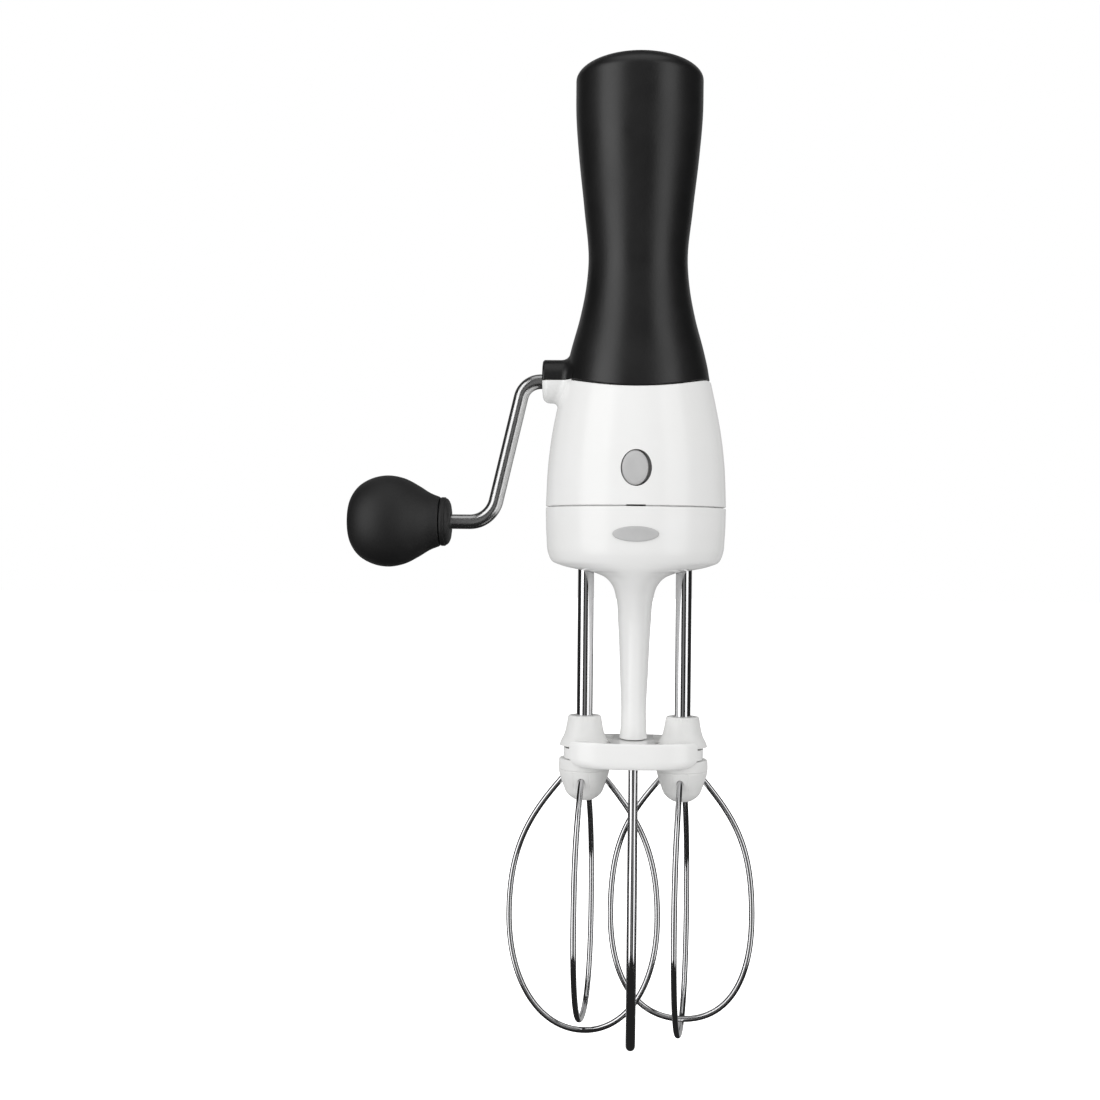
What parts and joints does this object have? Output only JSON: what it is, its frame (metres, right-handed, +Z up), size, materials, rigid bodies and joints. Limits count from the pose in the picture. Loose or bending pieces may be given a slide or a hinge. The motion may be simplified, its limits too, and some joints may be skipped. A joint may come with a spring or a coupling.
{
  "type": "rotary egg beater",
  "caption": "Hand-cranked egg beater with rubber grip, side crank and knob, and a detachable unit with counter-rotating crossed-wire beaters and a wire foot loop.",
  "frame": {"origin": "on the body's upright axis, level with the lowest point of the foot loop", "axes": "+Z up along the body towards the top of the grip, -Y is the front with the release button, +X points away from the crank"},
  "size_m": [0.128, 0.0523, 0.3108],
  "materials": {
    "black_rubber": "satin, fine moulded grain",
    "white_gloss_plastic": "glossy off-white",
    "white_satin_plastic": "satin off-white",
    "grey_plastic": "satin mid grey",
    "inner_plastic": "plain moulded",
    "polished_steel": "polished stainless steel",
    "brushed_steel": "satin drawn steel",
    "sintered_bronze": "dull sintered bronze"
  },
  "bodies": {
    "handle": {"grip_sleeve": "black_rubber", "handle_core": "inner_plastic", "upper_housing": "white_gloss_plastic", "chassis_plate": "inner_plastic", "gear_frame": "brushed_steel", "boss_bush": "sintered_bronze", "crank_bush_left": "sintered_bronze", "crank_bush_right": "sintered_bronze", "spindle_bush_lower_left": "sintered_bronze", "spindle_bush_lower_right": "sintered_bronze", "spindle_bush_upper_left": "sintered_bronze", "spindle_bush_upper_right": "sintered_bronze", "button_guide": "inner_plastic", "button_spring": "brushed_steel", "chassis_screw_1": "brushed_steel", "chassis_screw_2": "brushed_steel", "chassis_screw_3": "brushed_steel", "chassis_screw_4": "brushed_steel"},
    "crank": {"crank_rod": "brushed_steel", "crown_gear_left": "inner_plastic", "crown_gear_right": "inner_plastic", "crown_spacer": "inner_plastic", "shaft_clip": "brushed_steel", "rod_cap": "brushed_steel"},
    "knob": {"crank_knob": "black_rubber", "knob_sleeve": "inner_plastic", "knob_collar": "black_rubber"},
    "left_spindle": {"left_spindle": "brushed_steel", "left_pinion": "sintered_bronze"},
    "right_spindle": {"right_spindle": "brushed_steel", "right_pinion": "sintered_bronze"},
    "beater_unit": {"lower_housing": "white_gloss_plastic", "unit_deck": "inner_plastic", "latch_tongue": "inner_plastic", "deck_screw_left": "brushed_steel", "deck_screw_right": "brushed_steel", "beater_bridge": "white_gloss_plastic", "foot_loop": "polished_steel", "badge": "grey_plastic", "shaft_bush_upper_left": "sintered_bronze", "shaft_bush_upper_right": "sintered_bronze", "shaft_bush_lower_left": "sintered_bronze", "shaft_bush_lower_right": "sintered_bronze"},
    "left_beater": {"left_shaft": "polished_steel", "left_shaft_clip": "brushed_steel", "left_collar": "white_satin_plastic", "left_bell": "white_satin_plastic", "left_outer_loop": "polished_steel", "left_inner_loop": "polished_steel"},
    "right_beater": {"right_shaft": "polished_steel", "right_shaft_clip": "brushed_steel", "right_collar": "white_satin_plastic", "right_bell": "white_satin_plastic", "right_outer_loop": "polished_steel", "right_inner_loop": "polished_steel"},
    "release_button": {"button_cap": "grey_plastic", "latch_hook": "brushed_steel"}
  },
  "joints": [
    {"name": "crank_turn", "type": "hinge", "parent": "handle", "child": "crank", "pos_m": [0, 0, 0.208], "axis": [1, 0, 0], "continuous": true},
    {"name": "knob_spin", "type": "hinge", "parent": "crank", "child": "knob", "pos_m": [-0.075, 0, 0.164], "axis": [1, 0, 0], "continuous": true},
    {"name": "left_spindle_turn", "type": "hinge", "parent": "handle", "child": "left_spindle", "pos_m": [-0.01525, 0, 0.185], "axis": [0, 0, 1], "continuous": true},
    {"name": "right_spindle_turn", "type": "hinge", "parent": "handle", "child": "right_spindle", "pos_m": [0.01525, 0, 0.185], "axis": [0, 0, 1], "continuous": true},
    {"name": "unit_release", "type": "slide", "parent": "handle", "child": "beater_unit", "axis": [0, 0, -1], "range_m": [0, 0.06]},
    {"name": "left_beater_turn", "type": "hinge", "parent": "beater_unit", "child": "left_beater", "pos_m": [-0.01525, 0, 0.12], "axis": [0, 0, 1], "continuous": true},
    {"name": "right_beater_turn", "type": "hinge", "parent": "beater_unit", "child": "right_beater", "pos_m": [0.01525, 0, 0.12], "axis": [0, 0, 1], "continuous": true},
    {"name": "button_press", "type": "slide", "parent": "handle", "child": "release_button", "axis": [0, 1, 0], "range_m": [0, 0.0022], "stiffness_N_per_m": 800, "deforming": ["button_spring"]}
  ],
  "couplings": [
    {"joint": "left_spindle_turn", "follows": "crank_turn", "ratio": 3.5},
    {"joint": "right_spindle_turn", "follows": "crank_turn", "ratio": -3.5},
    {"joint": "left_beater_turn", "follows": "crank_turn", "ratio": 3.5},
    {"joint": "right_beater_turn", "follows": "crank_turn", "ratio": -3.5}
  ]
}
